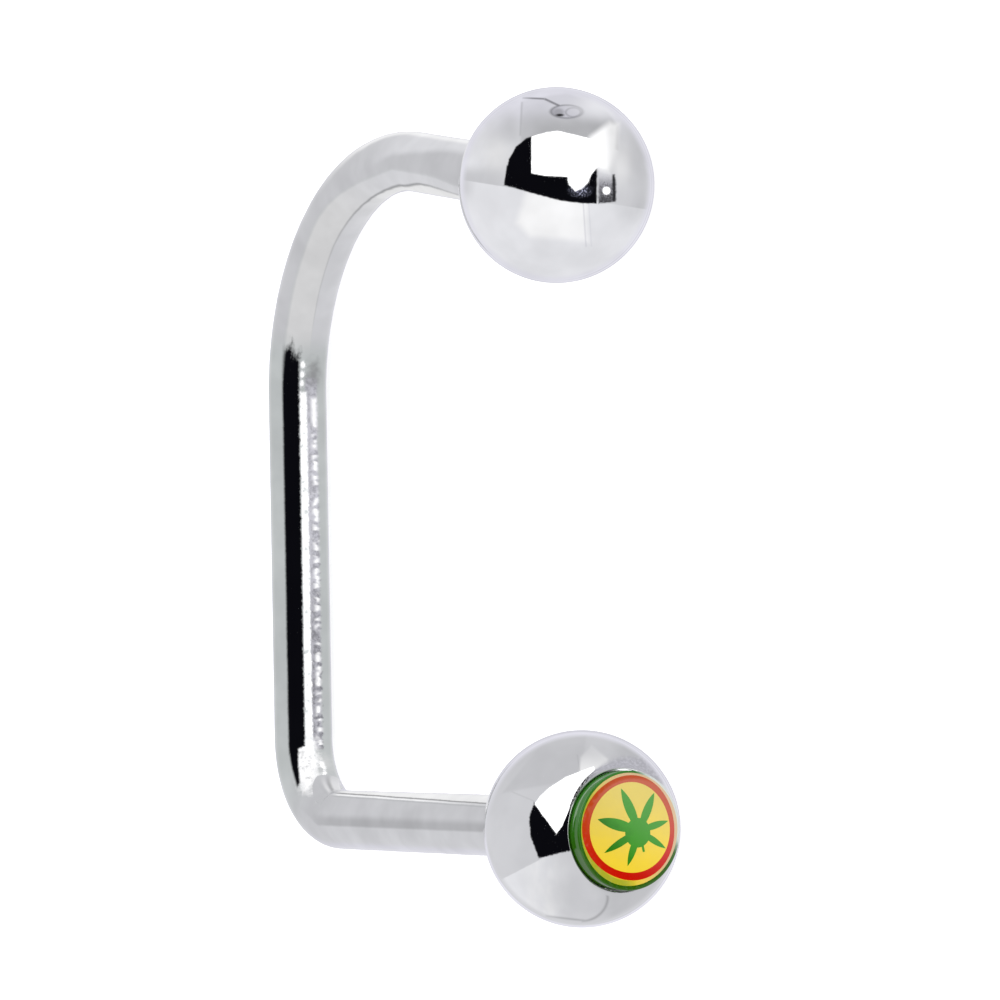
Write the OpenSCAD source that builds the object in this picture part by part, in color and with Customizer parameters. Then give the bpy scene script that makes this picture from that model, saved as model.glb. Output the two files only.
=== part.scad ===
// Lippy loop labret: a wire bent to a loop that hooks over the lip, with a ball screwed on each end.
// The wire is drawn in its own plane: x along the arms, y up the back, z to the side.
// It is then laid on its side, so that both balls and the back of the wire rest at z = 0.

/* [Wire] */
// Diameter of the wire
wire_d = 1.6; // [1.4:0.1:1.8]
// Straight stretch behind the lip, between the corner and the arch
back_len = 9.45; // [8:0.05:12]
// Centreline radius of the lower corner
corner_r = 2.2; // [1.8:0.1:3]
// Lower arm, from the centreline of the back to the centre of the lower ball
arm_len = 14.8; // [12:0.1:18]
// Centreline radius of the arch that passes over the lip
arch_r = 6; // [5:0.1:7]
// Angle that the arch turns through
arch_turn = 99.5; // [92:0.5:105]
// Straight end of the arch, as far as the centre of the top ball
tail_len = 7.25; // [5:0.05:9]
// Diameter of the screw end that each ball hides, taken at the middle of its thread
stud_d = 1.2; // [1:0.05:1.3]

/* [Balls] */
// Diameter of both balls
ball_d = 5; // [4.5:0.25:6]

/* [Picture disc] */
// Diameter of the disc in the lower ball
disc_d = 3; // [2.6:0.1:3.2]
// How far the disc stands out of the ball's flat land
disc_stand = 0.37; // [0.2:0.01:0.5]
// Thickness of the disc
disc_thick = 0.65; // [0.5:0.05:0.8]
// Width of the bare metal land round the disc
land_w = 0.09; // [0.05:0.01:0.2]
// Width of the green edge, seen from the front
edge_w = 0.09; // [0.08:0.01:0.13]
// Width of the yellow margin between the green edge and the red ring
margin_w = 0.08; // [0.07:0.01:0.12]
// Width of the red ring
ring_w = 0.18; // [0.1:0.01:0.25]
// Width of the widest leaflet
leaflet_w = 0.29; // [0.22:0.01:0.35]

/* [Hidden] */
$fn = 96;

wire_r = wire_d / 2;
ball_r = ball_d / 2;
disc_r = disc_d / 2;
stud_r = stud_d / 2;

// Gaps: between touching pieces, round the screw ends, and round the inlays of the disc
seat_gap = 0.02;
screw_gap = 0.05;
disc_gap = 0.03;
inlay_gap = 0.01;

// A bend draws the wire a little thinner, and runs a little into the straight wire
bend_thin = 0.01;
bend_splice = 0.1;

// Where a ball is flattened to meet the end of the wire
flat_r = wire_r + 0.05;
flat_x = sqrt(ball_r * ball_r - flat_r * flat_r);
shoulder_x = flat_x + seat_gap;
// How far the screw end and its hole run past the centre of a ball
stud_past = 0.6;
hole_past = 0.75;

// Ends and headings of the wire's stretches
back_top = corner_r + back_len;
tail_dir = 90 - arch_turn;
arch_end = [arch_r * (1 - cos(arch_turn)), back_top + arch_r * sin(arch_turn)];
top_centre = arch_end + tail_len * [cos(tail_dir), sin(tail_dir)];
lower_centre = [arm_len, 0];

// Turn in the plane of the wire that brings both balls in line with the frame's y
ball_span = norm(top_centre - lower_centre);
rest_turn = atan2(arm_len - top_centre.x, top_centre.y);
// Furthest that the wire's centreline reaches back from the line of the balls
corner_reach = (arm_len - corner_r) * cos(rest_turn) - corner_r * sin(rest_turn) + corner_r;
arch_reach = (arm_len - arch_r) * cos(rest_turn) - back_top * sin(rest_turn) + arch_r;
back_reach = max(corner_reach, arch_reach);
// Tilt at which the back touches the floor, since the wire is thinner than the balls
rest_tilt = asin((ball_r - wire_r) / back_reach);
// Middle of the outline on the floor, from the centre of the lower ball
arch_top = back_top * cos(rest_turn) + (arm_len - arch_r) * sin(rest_turn) + arch_r + wire_r;
mid_x = (ball_r - back_reach * cos(rest_tilt) - wire_r) / 2;
mid_y = (max(ball_span + ball_r, arch_top) - ball_r) / 2;

// The seat of the disc, along the axis of the lower arm from the ball's centre
land_r = disc_r + land_w;
land_x = sqrt(ball_r * ball_r - land_r * land_r);
face_x = land_x + disc_stand;
disc_back_x = face_x - disc_thick;
// Rounding of the disc's edge, floor of its green cup, and depth of the coloured inlays
edge_round = 0.05;
cup_floor = 0.25;
inlay_depth = 0.15;
cup_r = disc_r - edge_w;
field_r = cup_r - inlay_gap;
ring_out_r = cup_r - margin_w;
ring_in_r = ring_out_r - ring_w;
// The picture sits a little high in the disc: the plate in the edge, and the ring in the plate
plate_lift = 0.35 * edge_w;
ring_lift = plate_lift + 0.5 * margin_w;

// The leaf: leaflets as [angle clockwise from the top, length, share of the full width],
// drawn inside a ring of leaf_drawn_r
ANGLE = 0;
LENGTH = 1;
SHARE = 2;
LEAFLETS = [
    [-25, 1.18, 0.93],
    [27, 1.05, 0.83],
    [76, 0.9, 0.62],
    [121, 0.92, 0.58],
    [202, 0.94, 0.69],
    [243, 1.15, 0.66],
    [285, 1.24, 1]
];
LEAF_STEM = [166, 0.55];
leaf_drawn_r = 1.15;
leaf_scale = ring_in_r / leaf_drawn_r;
leaf_centre = [0.265, -0.01] * leaf_scale;
leaf_heart_r = 0.37;
leaf_heart_at = [-0.04, -0.05];
stem_w = 0.07;
// Least yellow between a leaflet's tip and the ring
leaf_room = 0.04;
// A sharp leaflet needs more room at its tip than at its sides
tip_room = 2.5;

// Lays the labret on its side
module lie() {
    translate([-mid_x, -mid_y, ball_r])
        rotate([0, -rest_tilt, 0])
            rotate([0, 0, -rest_turn])
                translate([-lower_centre.x, -lower_centre.y, 0])
                    children();
}

// Puts a ball's parts on the top end or the lower end of the wire, its post coming in along +x
module at_top() {
    lie() translate([top_centre.x, top_centre.y, 0]) rotate([0, 0, tail_dir]) children();
}

module at_lower() {
    lie() translate([lower_centre.x, lower_centre.y, 0]) children();
}

// Turns what is drawn along z to point along x
module along_x() {
    rotate([0, 90, 0]) children();
}

// An arc of wire in the plane z = 0, about the origin, with each end let into its neighbour
module bend(radius, start, turn) {
    let_in = bend_splice / radius * 180 / PI;
    rotate([0, 0, start - let_in])
        rotate_extrude(angle = turn + 2 * let_in)
            translate([radius, 0]) circle(r = wire_r - bend_thin);
}

// The straight end of an arm: full wire up to the shoulder, then the screw end, as far as a ball's centre
module arm_end(length) {
    along_x() cylinder(r = wire_r, h = length - shoulder_x);
    along_x() cylinder(r = stud_r, h = length + stud_past);
}

module bar() {
    color("silver")
        lie() {
            translate([corner_r, 0, 0]) arm_end(arm_len - corner_r);
            translate([corner_r, corner_r, 0]) bend(corner_r, 180, 90);
            translate([0, corner_r, 0]) rotate([-90, 0, 0]) cylinder(r = wire_r, h = back_len);
            translate([arch_r, back_top, 0]) bend(arch_r, 180 - arch_turn, arch_turn);
            translate([arch_end.x, arch_end.y, 0]) rotate([0, 0, tail_dir]) arm_end(tail_len);
        }
}

// A ball with its flat and its blind hole on the -z side
module drilled_ball() {
    difference() {
        sphere(r = ball_r);
        translate([0, 0, -flat_x - ball_r]) cylinder(r = ball_r, h = ball_r);
        translate([0, 0, -ball_r - flat_x]) cylinder(r = stud_r + screw_gap, h = ball_r + flat_x + hole_past);
    }
}

module top_ball() {
    color("gainsboro") at_top() along_x() drilled_ball();
}

module lower_ball() {
    color("gainsboro")
        at_lower()
            along_x()
                difference() {
                    drilled_ball();
                    translate([0, 0, land_x]) cylinder(r = ball_r, h = ball_r);
                    translate([0, 0, disc_back_x - seat_gap]) cylinder(r = disc_r + disc_gap, h = ball_r);
                }
}

// Half outline of the green cup that holds the picture, before it is hollowed: radius along x, height along y
module rim_profile() {
    difference() {
        union() {
            square([disc_r, disc_thick - edge_round]);
            square([disc_r - edge_round, disc_thick]);
            translate([disc_r - edge_round, disc_thick - edge_round]) circle(r = edge_round);
        }
        translate([-disc_r, -disc_r]) square([disc_r, disc_d]);
    }
}

module disc_rim() {
    color("forestgreen")
        at_lower()
            translate([disc_back_x, 0, 0])
                along_x()
                    difference() {
                        rotate_extrude() rim_profile();
                        translate([0, plate_lift, cup_floor]) cylinder(r = cup_r, h = disc_thick);
                    }
}

// A pointed leaflet from the origin up the y axis, as the overlap of two circles
module leaflet(length, width) {
    side_r = (length * length + width * width) / (4 * width);
    translate([0, length / 2])
        intersection() {
            translate([side_r - width / 2, 0]) circle(r = side_r);
            translate([width / 2 - side_r, 0]) circle(r = side_r);
        }
}

module placed_leaflet(row, room) {
    length = row[LENGTH] * leaf_scale + 2 * tip_room * room;
    translate([0, -tip_room * room]) leaflet(length, leaflet_w * row[SHARE] + 2 * room);
}

// The leaf as seen from the front, larger all round by room and trimmed where it would meet the ring
module leaf_outline(room) {
    intersection() {
        translate(leaf_centre) {
            translate(leaf_heart_at * leaf_scale) circle(r = leaf_heart_r * leaf_scale + room);
            for (row = LEAFLETS)
                rotate(-row[ANGLE]) placed_leaflet(row, room);
            rotate(-LEAF_STEM[ANGLE])
                translate([-stem_w / 2 - room, 0])
                    square([stem_w + 2 * room, LEAF_STEM[LENGTH] * leaf_scale + room]);
        }
        translate([0, ring_lift]) circle(r = ring_in_r - leaf_room + room);
    }
}

module ring_outline(room) {
    translate([0, ring_lift])
        difference() {
            circle(r = ring_out_r + room);
            circle(r = ring_in_r - room);
        }
}

// Yellow plate in the green cup, with a groove for the ring and a pocket for the leaf
module disc_field() {
    plate_x = disc_back_x + cup_floor + inlay_gap;
    pocket_x = face_x - inlay_depth - inlay_gap;
    color("gold")
        at_lower()
            difference() {
                translate([plate_x, plate_lift, 0]) along_x() cylinder(r = field_r, h = face_x - plate_x);
                translate([pocket_x, 0, 0])
                    along_x() linear_extrude(height = disc_thick) {
                        ring_outline(inlay_gap);
                        leaf_outline(inlay_gap);
                    }
            }
}

module disc_ring() {
    color("red")
        at_lower()
            translate([face_x - inlay_depth, 0, 0])
                along_x() linear_extrude(height = inlay_depth) ring_outline(0);
}

module disc_leaf() {
    color("green")
        at_lower()
            translate([face_x - inlay_depth, 0, 0])
                along_x() linear_extrude(height = inlay_depth) leaf_outline(0);
}

bar();
top_ball();
lower_ball();
disc_rim();
disc_field();
disc_ring();
disc_leaf();
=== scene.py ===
import functools
import math

import bmesh
import bpy
import numpy as np
from mathutils import Matrix, Vector
from mathutils.geometry import delaunay_2d_cdt


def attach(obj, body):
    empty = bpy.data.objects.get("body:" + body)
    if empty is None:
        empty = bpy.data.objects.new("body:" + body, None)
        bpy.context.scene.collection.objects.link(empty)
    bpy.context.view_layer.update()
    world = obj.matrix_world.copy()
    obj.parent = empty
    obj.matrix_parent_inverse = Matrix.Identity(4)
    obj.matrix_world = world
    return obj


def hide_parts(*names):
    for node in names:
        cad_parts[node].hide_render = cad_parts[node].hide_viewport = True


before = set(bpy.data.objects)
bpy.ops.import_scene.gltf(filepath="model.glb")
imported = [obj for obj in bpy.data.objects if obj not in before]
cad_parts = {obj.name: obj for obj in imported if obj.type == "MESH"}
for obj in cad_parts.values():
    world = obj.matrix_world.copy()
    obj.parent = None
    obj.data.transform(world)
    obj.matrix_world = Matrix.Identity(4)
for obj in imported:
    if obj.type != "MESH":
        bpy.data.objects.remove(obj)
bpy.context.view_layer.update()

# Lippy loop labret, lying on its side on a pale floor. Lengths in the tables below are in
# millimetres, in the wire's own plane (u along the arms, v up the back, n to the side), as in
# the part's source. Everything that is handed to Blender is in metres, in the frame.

MM = 0.001

# Wire
WIRE_R = 0.8
BACK_LEN = 9.45
CORNER_R = 2.2
ARM_LEN = 14.8
ARCH_R = 6.0
ARCH_TURN = math.radians(99.5)
TAIL_LEN = 7.25
STUD_PAST = 0.6
# Thread on the screw ends
THREAD_TOP_R = 0.638
THREAD_ROOT_R = 0.56
THREAD_PITCH = 0.3
THREAD_END = 0.12
NECK_R = 0.57
NECK_LEN = 0.25
NECK_RAMP = 0.12
TIP_CHAMFER = 0.14
# The end of the full wire: distance into the wire, and radius. The smooth wire starts a little further in.
SHOULDER_STEPS = [(0.0, NECK_R), (0.0, WIRE_R - 0.07), (0.018, WIRE_R - 0.022), (0.07, WIRE_R - 0.001)]
WIRE_INSET = SHOULDER_STEPS[-1][0] + 0.05

# Balls. A ball keeps the seat gap to the wire's shoulder and to the disc.
BALL_R = 2.5
SEAT_GAP = 0.02
FLAT_R = 0.85
FLAT_X = math.sqrt(BALL_R ** 2 - FLAT_R ** 2)
SHOULDER_X = FLAT_X + SEAT_GAP
HOLE_R = 0.65
HOLE_PAST = 0.75
HOLE_FLOOR_R = 0.3
HOLE_ROUND = 0.06
FLAT_ROUND = 0.03

# Picture disc
DISC_R = 1.5
DISC_THICK = 0.65
DISC_STAND = 0.37
DISC_ROUND = 0.05
DISC_BACK_ROUND = 0.02
LAND_R = 1.59
LAND_X = math.sqrt(BALL_R ** 2 - LAND_R ** 2)
LAND_ROUND = 0.08
SEAT_ROUND = 0.012
SEAT_R = 1.53
FACE_X = LAND_X + DISC_STAND
DISC_BACK_X = FACE_X - DISC_THICK
SEAT_X = DISC_BACK_X - SEAT_GAP
EDGE_W = 0.09
MARGIN_W = 0.08
FIELD_R = DISC_R - EDGE_W
RING_OUT_R = 1.33
RING_IN_R = 1.15
PLATE_LIFT = 0.35 * EDGE_W
RING_LIFT = PLATE_LIFT + 0.5 * MARGIN_W
CUP_FLOOR = 0.25
INLAY_DEPTH = 0.15
INLAY_GAP = 0.01
DOME_RISE = 0.03
# Leaflets: angle clockwise from the top, length, share of the full width
LEAFLETS = [(-25, 1.18, 0.93), (27, 1.05, 0.83), (76, 0.9, 0.62), (121, 0.92, 0.58),
            (202, 0.94, 0.69), (243, 1.15, 0.66), (285, 1.24, 1.0)]
LEAF_STEM = (166, 0.55)
LEAF_CENTRE = (0.265, -0.01)
LEAF_HEART_R = 0.37
LEAF_HEART_AT = (-0.04, -0.05)
LEAFLET_W = 0.29
STEM_W = 0.07
# Uneven printing of the red ring: share of sine and cosine of one, two and three times the angle
RING_OUT_WAVES = [(-0.0045, -0.0114), (-0.013, -0.0196), (0.0276, 0.0092)]
RING_IN_WAVES = [(0.0217, -0.0077), (-0.0073, -0.0212), (0.0141, 0.0152)]

# Camera, as fitted to the photo's outlines, in millimetres in the frame
CAMERA_AT = (116.728, -8.253, 87.806)
CAMERA_RIGHT = (0.59958, -0.03862, -0.79938)
CAMERA_UP = (0.07167, 0.99741, 0.00557)
CAMERA_LENS = 198.0
CAMERA_SENSOR = 36.0

# Brightness of the backdrop and of the floor, and the lamp overhead, in metres and watts
BACKDROP = 0.8
FLOOR_GLOW = 0.55
FLOOR_HALF = 3.0
LAMP_AT = (0.1, 0.12, 0.45)
LAMP_SIZE = 0.5
LAMP_POWER = 1.6


# Placing: the labret's own plane to the frame

def turn_matrix(axis, angle):
    return np.array(Matrix.Rotation(angle, 4, axis))


def shift_matrix(x, y, z):
    return np.array(Matrix.Translation((x, y, z)))


TAIL_DIR = math.pi / 2 - ARCH_TURN
BACK_TOP = CORNER_R + BACK_LEN
ARCH_CENTRE = np.array([ARCH_R, BACK_TOP])
ARCH_END = ARCH_CENTRE + ARCH_R * np.array([-math.cos(ARCH_TURN), math.sin(ARCH_TURN)])
TAIL = np.array([math.cos(TAIL_DIR), math.sin(TAIL_DIR)])
TOP_CENTRE = ARCH_END + TAIL_LEN * TAIL
SPAN = math.hypot(TOP_CENTRE[0] - ARM_LEN, TOP_CENTRE[1])
REST_TURN = math.atan2(ARM_LEN - TOP_CENTRE[0], TOP_CENTRE[1])
ARCH_REACH = (ARM_LEN - ARCH_R) * math.cos(REST_TURN) - BACK_TOP * math.sin(REST_TURN) + ARCH_R
CORNER_REACH = (ARM_LEN - CORNER_R) * math.cos(REST_TURN) - CORNER_R * math.sin(REST_TURN) + CORNER_R
BACK_REACH = max(ARCH_REACH, CORNER_REACH)
REST_TILT = math.asin((BALL_R - WIRE_R) / BACK_REACH)
ARCH_TOP = BACK_TOP * math.cos(REST_TURN) + (ARM_LEN - ARCH_R) * math.sin(REST_TURN) + ARCH_R + WIRE_R
MID_X = (BALL_R - BACK_REACH * math.cos(REST_TILT) - WIRE_R) / 2
MID_Y = (max(SPAN + BALL_R, ARCH_TOP) - BALL_R) / 2

LIE = (shift_matrix(-MID_X, -MID_Y, BALL_R) @ turn_matrix("Y", -REST_TILT)
       @ turn_matrix("Z", -REST_TURN) @ shift_matrix(-ARM_LEN, 0, 0))
AT_LOWER = LIE @ shift_matrix(ARM_LEN, 0, 0)
AT_TOP = LIE @ shift_matrix(TOP_CENTRE[0], TOP_CENTRE[1], 0) @ turn_matrix("Z", TAIL_DIR)


def in_frame(points, place):
    """Points in millimetres, laid by a placing matrix, in metres in the frame."""
    points = np.asarray(points, float)
    return (points @ place[:3, :3].T + place[:3, 3]) * MM


# Mesh building

def add_object(name, data):
    thing = bpy.data.objects.new(name, data)
    bpy.context.scene.collection.objects.link(thing)
    return thing


def make_piece(name, points, faces, place, sharp_deg=35.0):
    """A smooth-shaded mesh piece at the origin, its place in its vertices."""
    mesh = bpy.data.meshes.new(name)
    mesh.from_pydata(in_frame(points, place).tolist(), [], faces)
    mesh.validate()
    work = bmesh.new()
    work.from_mesh(mesh)
    bmesh.ops.recalc_face_normals(work, faces=work.faces)
    work.to_mesh(mesh)
    work.free()
    mesh.shade_smooth()
    mesh.set_sharp_from_angle(angle=math.radians(sharp_deg))
    return add_object(name, mesh)


def grid_faces(rows, columns, first=0):
    """Quads between rings of vertices, closed round each ring."""
    faces = []
    for i in range(rows - 1):
        a = first + i * columns
        b = a + columns
        for j in range(columns):
            k = (j + 1) % columns
            faces.append((a + j, a + k, b + k, b + j))
    return faces


def lathe(profile, columns):
    """A closed solid turned about the x axis from (x, radius) points, both ends on the axis."""
    points = [(profile[0][0], 0.0, 0.0)]
    inner = profile[1:-1]
    turn = np.linspace(0, 2 * math.pi, columns, endpoint=False)
    for x, r in inner:
        points += [(x, r * math.cos(t), r * math.sin(t)) for t in turn]
    faces = grid_faces(len(inner), columns, 1)
    last = len(points)
    points.append((profile[-1][0], 0.0, 0.0))
    ring = last - columns
    for j in range(columns):
        k = (j + 1) % columns
        faces.append((0, 1 + k, 1 + j))
        faces.append((last, ring + j, ring + k))
    return np.array(points), faces


def rounded(start, corner, end, steps):
    """Points on a smooth curve from start to end that bends at the corner."""
    start, corner, end = (np.array(p, float) for p in (start, corner, end))
    shares = [i / steps for i in range(steps + 1)]
    return [tuple((1 - t) ** 2 * start + 2 * t * (1 - t) * corner + t ** 2 * end) for t in shares]


def fillet(a, corner, b, radius, steps=4):
    """Points that round the corner between the lines a-corner and corner-b."""
    a, corner, b = (np.array(p, float) for p in (a, corner, b))
    one = (a - corner) / np.linalg.norm(a - corner)
    two = (b - corner) / np.linalg.norm(b - corner)
    return rounded(corner + one * radius, corner, corner + two * radius, steps)


def sphere_arc(from_x, to_x, steps):
    """Points (x, radius) on the ball between two places along its axis."""
    angles = np.linspace(math.acos(from_x / BALL_R), math.acos(to_x / BALL_R), steps)
    return [(BALL_R * math.cos(t), BALL_R * math.sin(t)) for t in angles]


# Wire

def wire_line():
    """Rings from the lower screw end to the top one: centre, way of travel, kind, value."""
    rows = []
    stud_len = SHOULDER_X + STUD_PAST
    # the shoulder gives the ring at 0
    stud_steps = np.linspace(0, stud_len, int(stud_len / (THREAD_PITCH / 9)))[1:]

    def stud(at, outward, way, steps):
        for d in steps:
            rows.append((at + outward * d, way, "stud", d))

    def shoulder(at, way, into, steps):
        """The flat end of the full wire, its edge slightly broken."""
        for d, radius in steps:
            rows.append((at + into * d, way, "shoulder", radius))

    def straight(start, end, step):
        length = np.linalg.norm(end - start)
        way = (end - start) / length
        for t in np.linspace(0, length, max(2, int(length / step))):
            rows.append((start + way * t, way, "wire", 0))

    def arc(centre, radius, start, end, count):
        # its first and last ring are those of the straight stretches
        for t in np.linspace(start, end, count)[1:-1]:
            way = np.array([math.sin(t), -math.cos(t)])
            rows.append((centre + radius * np.array([math.cos(t), math.sin(t)]), way, "wire", 0))

    lower = np.array([ARM_LEN - SHOULDER_X, 0.0])
    top = ARCH_END + (TAIL_LEN - SHOULDER_X) * TAIL
    out = np.array([1.0, 0.0])
    stud(lower, out, -out, stud_steps[::-1])
    shoulder(lower, -out, -out, SHOULDER_STEPS)
    straight(lower - out * WIRE_INSET, np.array([CORNER_R, 0.0]), 0.12)
    arc(np.array([CORNER_R, CORNER_R]), CORNER_R, 1.5 * math.pi, math.pi, 70)
    straight(np.array([0.0, CORNER_R]), np.array([0.0, BACK_TOP]), 0.06)
    arc(ARCH_CENTRE, ARCH_R, math.pi, math.pi - ARCH_TURN, 150)
    straight(ARCH_END, top - TAIL * WIRE_INSET, 0.12)
    shoulder(top, TAIL, -TAIL, SHOULDER_STEPS[::-1])
    stud(top, TAIL, TAIL, stud_steps)
    return rows


def thread_radius(distance, turn):
    """Radius of a screw end: a neck at the shoulder, a rounded thread, then a chamfered tip."""
    phase = distance / THREAD_PITCH - turn / (2 * math.pi)
    tooth = np.abs((phase % 1.0) - 0.5) * 2
    tooth = tooth * tooth * (3 - 2 * tooth)
    full = THREAD_ROOT_R + (THREAD_TOP_R - THREAD_ROOT_R) * tooth
    from_neck = np.clip((distance - NECK_LEN) / NECK_RAMP, 0, 1)
    to_tip = np.clip((SHOULDER_X + STUD_PAST - distance) / THREAD_END, 0, 1)
    return NECK_R + (full - NECK_R) * from_neck - (1 - to_tip) * TIP_CHAMFER


def wave(run, turn):
    """Unevenness of the polished wire, in millimetres, slow along it and round it."""
    slow = np.sin(2.1 * run + 0.7) * np.cos(turn + 0.4) + np.sin(3.7 * run + 2.0) * np.cos(2 * turn - 1.0)
    quick = np.sin(7.9 * run + 1.3) * np.sin(turn + 1.1) + np.sin(11.3 * run) * np.cos(3 * turn + 0.2)
    return 0.0016 * slow + 0.0007 * quick


def make_bar(columns=80):
    """The bent wire with its two shoulders and threaded screw ends, as one swept skin."""
    turn = np.linspace(0, 2 * math.pi, columns, endpoint=False)
    points = []
    run = 0.0
    rows = wire_line()
    previous = rows[0][0]
    for at, (centre, way, kind, value) in enumerate(rows):
        run += float(np.linalg.norm(centre - previous))
        previous = centre
        if kind == "stud":
            # the thread is right-handed seen from either end
            radius = thread_radius(value, turn if at > len(rows) / 2 else -turn)
        elif kind == "shoulder":
            radius = np.full(columns, value)
        else:
            radius = WIRE_R + wave(run, turn)
        side = np.array([-way[1], way[0]])
        ring = np.zeros((columns, 3))
        ring[:, 0] = centre[0] + side[0] * radius * np.cos(turn)
        ring[:, 1] = centre[1] + side[1] * radius * np.cos(turn)
        ring[:, 2] = radius * np.sin(turn)
        points.append(ring)
    points = np.concatenate(points)
    faces = grid_faces(len(rows), columns)
    faces.append(tuple(range(columns))[::-1])
    last = len(points) - columns
    faces.append(tuple(last + j for j in range(columns)))
    return make_piece("bar_skin", points, faces, LIE, 40)


# Balls

def post_side():
    """The turned profile of a ball from the bottom of its hole to the edge of its flat."""
    mouth = (-FLAT_X, HOLE_R)
    profile = [(HOLE_PAST, 0.0), (HOLE_PAST, HOLE_FLOOR_R)]
    profile += fillet((HOLE_PAST, HOLE_FLOOR_R), (HOLE_PAST, HOLE_R), mouth, HOLE_ROUND)
    profile += [(x, HOLE_R) for x in np.linspace(0.5, -FLAT_X + 0.1, 12)]
    profile += fillet((0, HOLE_R), mouth, (-FLAT_X, FLAT_R), FLAT_ROUND)
    profile += [(-FLAT_X, 0.72)]
    beyond = (-FLAT_X + 0.05, FLAT_R + 0.13)
    return profile + fillet((-FLAT_X, 0.72), (-FLAT_X, FLAT_R), beyond, FLAT_ROUND)


def make_top_ball(columns=256, steps=140):
    """The plain ball with its flat and its blind hole."""
    profile = post_side() + sphere_arc(-FLAT_X + 0.02, BALL_R, steps)
    points, faces = lathe(profile, columns)
    return make_piece("top_ball_skin", points, faces, AT_TOP)


def make_lower_ball(columns=256, steps=110):
    """The ball with its flat, its blind hole, and the land and seat of the disc."""
    profile = post_side() + sphere_arc(-FLAT_X + 0.02, LAND_X - LAND_ROUND, steps)
    profile += rounded(profile[-1], (LAND_X, LAND_R), (LAND_X, SEAT_R + 0.03), 9)[1:]
    profile += fillet((LAND_X, LAND_R), (LAND_X, SEAT_R), (SEAT_X, SEAT_R), SEAT_ROUND, 3)
    profile += [(x, SEAT_R) for x in np.linspace(LAND_X - 0.05, SEAT_X + 0.05, 4)]
    profile += [(SEAT_X, SEAT_R), (SEAT_X, 1.2), (SEAT_X, 0.6), (SEAT_X, 0.0)]
    points, faces = lathe(profile, columns)
    return make_piece("lower_ball_skin", points, faces, AT_LOWER)


# Picture disc. Its drawings are seen from the front: x to the right, y up.

def disc_height(r):
    """Height of the disc's slightly domed face along the post, at a distance from its middle."""
    return FACE_X + DOME_RISE * (1 - np.minimum(r / FIELD_R, 1) ** 2)


def ring_edge(radius, waves, lift):
    """A nearly round printed edge as a closed row of points. Angles run clockwise from the top."""
    turn = np.linspace(0, 2 * math.pi, 256, endpoint=False)
    r = np.full_like(turn, radius)
    for k, (sine, cosine) in enumerate(waves, 1):
        r += sine * np.sin(k * turn) + cosine * np.cos(k * turn)
    return np.stack([r * np.sin(turn), r * np.cos(turn) + lift], 1)[::-1]


def away_from(angle, degrees):
    """Angles from a heading, between minus and plus half a turn."""
    return (angle - math.radians(degrees) + math.pi) % (2 * math.pi) - math.pi


def leaf_reach(angle):
    """How far the leaf reaches from its middle at an angle clockwise from the top."""
    off = math.hypot(*LEAF_HEART_AT)
    heading = math.degrees(math.atan2(LEAF_HEART_AT[0], LEAF_HEART_AT[1]))
    away = away_from(angle, heading)
    reach = off * np.cos(away) + np.sqrt(LEAF_HEART_R ** 2 - (off * np.sin(away)) ** 2)
    for at, length, share in LEAFLETS:
        width = LEAFLET_W * share
        side_r = (length ** 2 + width ** 2) / (4 * width)
        away = away_from(angle, at)
        # the side arcs of a pointed leaflet, as seen from its base
        out = length * np.cos(away) - (2 * side_r - width) * np.abs(np.sin(away))
        reach = np.maximum(reach, np.where(np.cos(away) > 0, out, 0))
    away = away_from(angle, LEAF_STEM[0])
    stem = np.minimum(LEAF_STEM[1] / np.maximum(np.cos(away), 1e-6),
                      STEM_W / 2 / np.maximum(np.abs(np.sin(away)), 1e-6))
    return np.maximum(reach, np.where(np.cos(away) > 0, stem, 0))


def leaf_edge():
    """The outline of the leaf as a closed row of points, with its tips."""
    angles = list(np.linspace(0, 2 * math.pi, 480, endpoint=False))
    angles += [math.radians(at) % (2 * math.pi) for at, _, _ in LEAFLETS]
    angle = np.array(sorted(set(round(a, 6) for a in angles)))
    reach = leaf_reach(angle)
    return np.stack([LEAF_CENTRE[0] + reach * np.sin(angle), LEAF_CENTRE[1] + reach * np.cos(angle)], 1)


def inside(points, outline):
    """Which points lie inside a closed outline."""
    x, y = points[:, 0], points[:, 1]
    found = np.zeros(len(points), bool)
    a = outline
    b = np.roll(outline, -1, 0)
    for (x0, y0), (x1, y1) in zip(a, b):
        cross = (y0 > y) != (y1 > y)
        at = x0 + (y - y0) * (x1 - x0) / np.where(y1 == y0, 1e-12, y1 - y0)
        found ^= cross & (x < at)
    return found


def filled(outlines, keep, spacing=0.05):
    """A flat triangle mesh bounded by outlines, with even inner points. keep says which spots count."""
    points = []
    edges = []
    for outline in outlines:
        first = len(points)
        points += [tuple(p) for p in outline]
        edges += [(first + i, first + (i + 1) % len(outline)) for i in range(len(outline))]
    steps = np.arange(-1.5, 1.5 + spacing, spacing)
    mesh_x, mesh_y = np.meshgrid(steps, steps)
    mesh_x = mesh_x + (np.arange(len(steps)) % 2)[:, None] * spacing / 2
    spots = np.stack([mesh_x.ravel(), mesh_y.ravel()], 1)
    spots = spots[keep(spots)]
    border = np.array(points)
    near = np.min(np.linalg.norm(spots[:, None] - border[None, ::3], axis=2), 1)
    spots = spots[near > spacing * 0.45]
    points += [tuple(p) for p in spots]
    made, _, faces, _, _, _ = delaunay_2d_cdt([Vector(p) for p in points], edges, [], 0, 1e-7)
    made = np.array([tuple(p) for p in made])
    faces = [tuple(f) for f in faces]
    middle = np.array([made[list(f)].mean(0) for f in faces])
    good = keep(middle)
    return made, [f for f, g in zip(faces, good) if g]


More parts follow.
